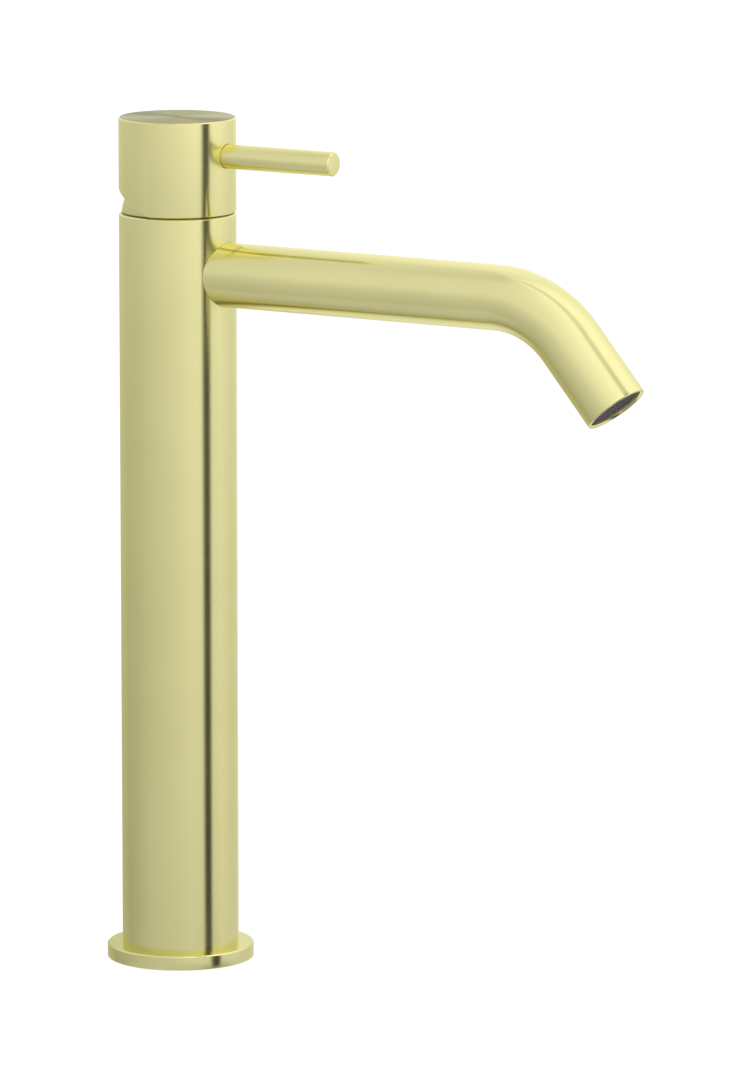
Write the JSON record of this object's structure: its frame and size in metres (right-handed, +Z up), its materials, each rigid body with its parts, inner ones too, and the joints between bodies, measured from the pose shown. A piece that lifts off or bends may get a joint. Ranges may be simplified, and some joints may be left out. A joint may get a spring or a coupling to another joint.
{
  "type": "bathroom mixer faucet",
  "caption": "Tall basin mixer: a round column on a flange, a bent tube spout, and a cylindrical lever cap with a pin lever that lifts for flow and turns for temperature.",
  "frame": {"origin": "centre of the base's underside, on the column's axis, where the mixer stands on the deck", "axes": "+Z up along the column, -Y the way the spout and the lever point, -X the hot side, so +X is to the right of someone who faces the mixer and looks along +Y"},
  "size_m": [0.0554, 0.2246, 0.32],
  "materials": {
    "satin_brass": "satin brushed, pale champagne gold",
    "raw_brass": "machined",
    "copper": "drawn copper tube",
    "steel": "machined stainless",
    "rubber": "matte",
    "dark_plastic": "matte moulded",
    "grey_plastic": "matte moulded",
    "white_plastic": "satin moulded",
    "ceramic": "lapped"
  },
  "bodies": {
    "mixer_body": {"base_flange": "satin_brass", "base_gasket": "rubber", "base_plug": "raw_brass", "column_tube": "satin_brass", "hot_riser": "copper", "cold_riser": "copper", "riser_o_rings": "rubber", "valve_body": "raw_brass", "spout_tube": "satin_brass", "spout_nipple": "raw_brass", "spout_o_rings": "rubber", "aerator_housing": "dark_plastic", "aerator_screen": "dark_plastic", "aerator_jet_plate": "grey_plastic", "aerator_strainer": "grey_plastic", "aerator_seal": "rubber", "cartridge_housing": "grey_plastic", "cartridge_base": "white_plastic", "cartridge_port_seals": "rubber", "disc_seals": "rubber", "fixed_disc": "ceramic", "retaining_nut": "raw_brass", "cartridge_cover": "satin_brass", "cover_o_ring": "rubber"},
    "turret": {"cartridge_turret": "white_plastic", "pivot_pin": "steel"},
    "disc_set": {"moving_disc": "ceramic", "disc_carrier": "white_plastic"},
    "lever": {"lever_stem": "steel", "handle_cap": "satin_brass", "handle_set_screw": "steel", "lever_rod": "satin_brass"}
  },
  "joints": [
    {"name": "mix_turn", "type": "hinge", "parent": "mixer_body", "child": "turret", "pos_m": [0, 0, 0.287], "axis": [0, 0, 1], "range_deg": [-50, 50]},
    {"name": "lever_tilt", "type": "hinge", "parent": "turret", "child": "lever", "pos_m": [0, 0, 0.287], "axis": [-1, 0, 0], "range_deg": [0, 22]},
    {"name": "disc_slide", "type": "slide", "parent": "turret", "child": "disc_set", "axis": [0, -1, 0], "range_m": [0, 0.0025]}
  ],
  "couplings": [
    {"joint": "disc_slide", "follows": "lever_tilt", "m_per_rad": 0.0062055}
  ]
}
